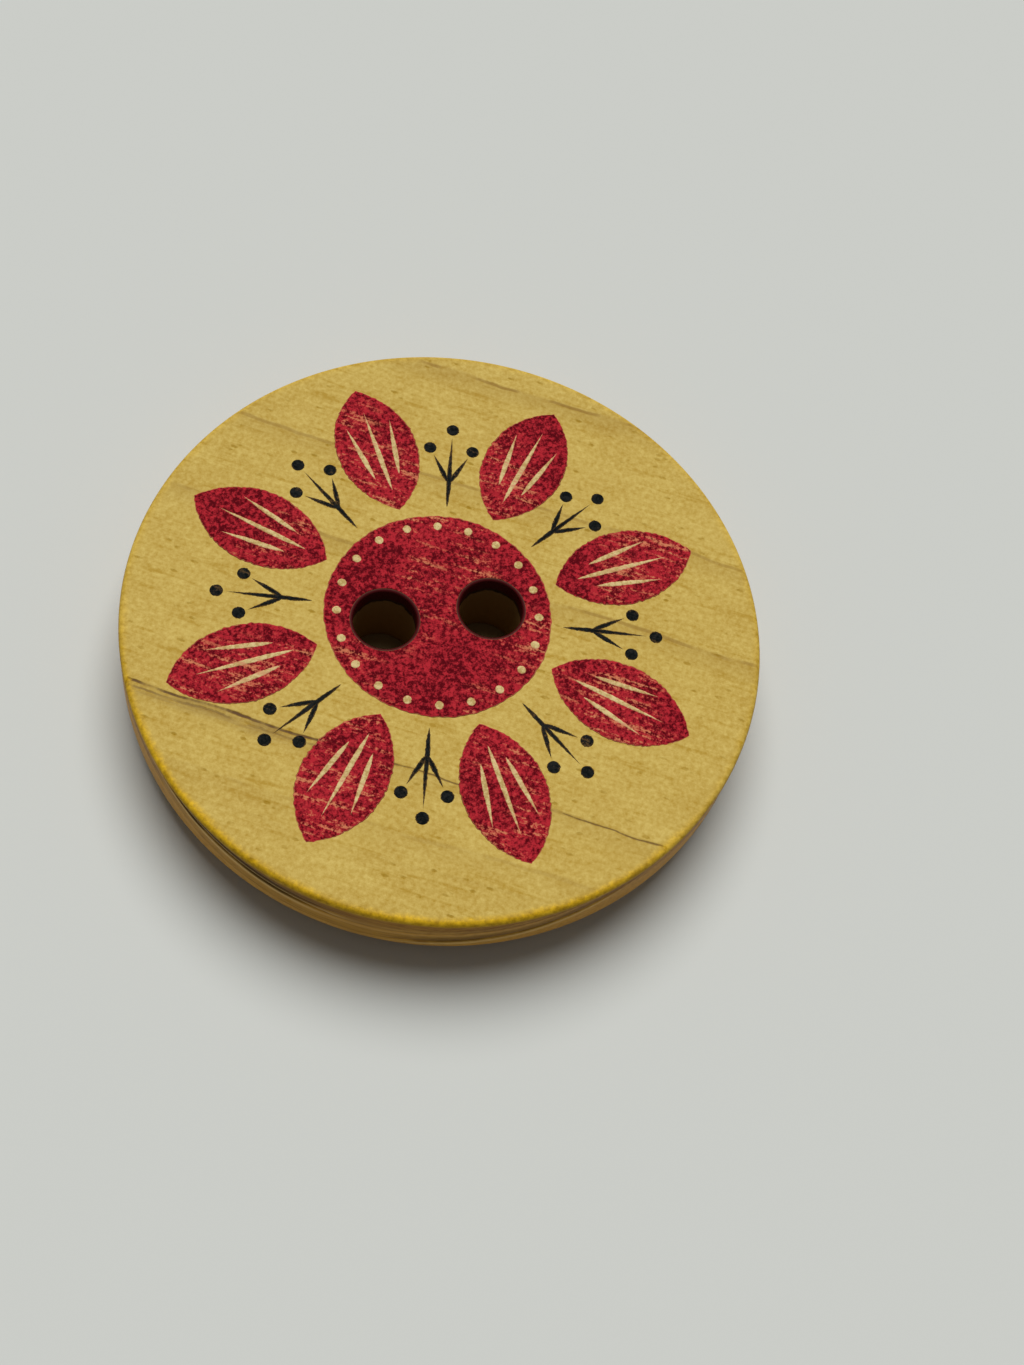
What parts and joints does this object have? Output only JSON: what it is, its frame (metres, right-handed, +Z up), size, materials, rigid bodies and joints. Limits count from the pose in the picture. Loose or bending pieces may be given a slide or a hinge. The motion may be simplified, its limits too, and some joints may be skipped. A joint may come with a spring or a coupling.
{
  "type": "two-hole wooden button",
  "caption": "Flat round wooden button with a rounded rim, thread holes through the middle and a flower rosette printed on its face.",
  "frame": {"origin": "middle of the flat back, on the surface that the button lies on", "axes": "+Z up out of the printed face, +X along the line of the thread holes"},
  "size_m": [0.025, 0.025, 0.0036],
  "materials": {
    "wood": "satin lacquer",
    "red_ink": "dried printing ink, satin",
    "cream_ink": "dried printing ink, satin",
    "black_ink": "dried printing ink, satin"
  },
  "bodies": {
    "root": {"wooden_disc": "wood", "red_print": "red_ink", "cream_print": "cream_ink", "black_print": "black_ink"}
  },
  "joints": []
}
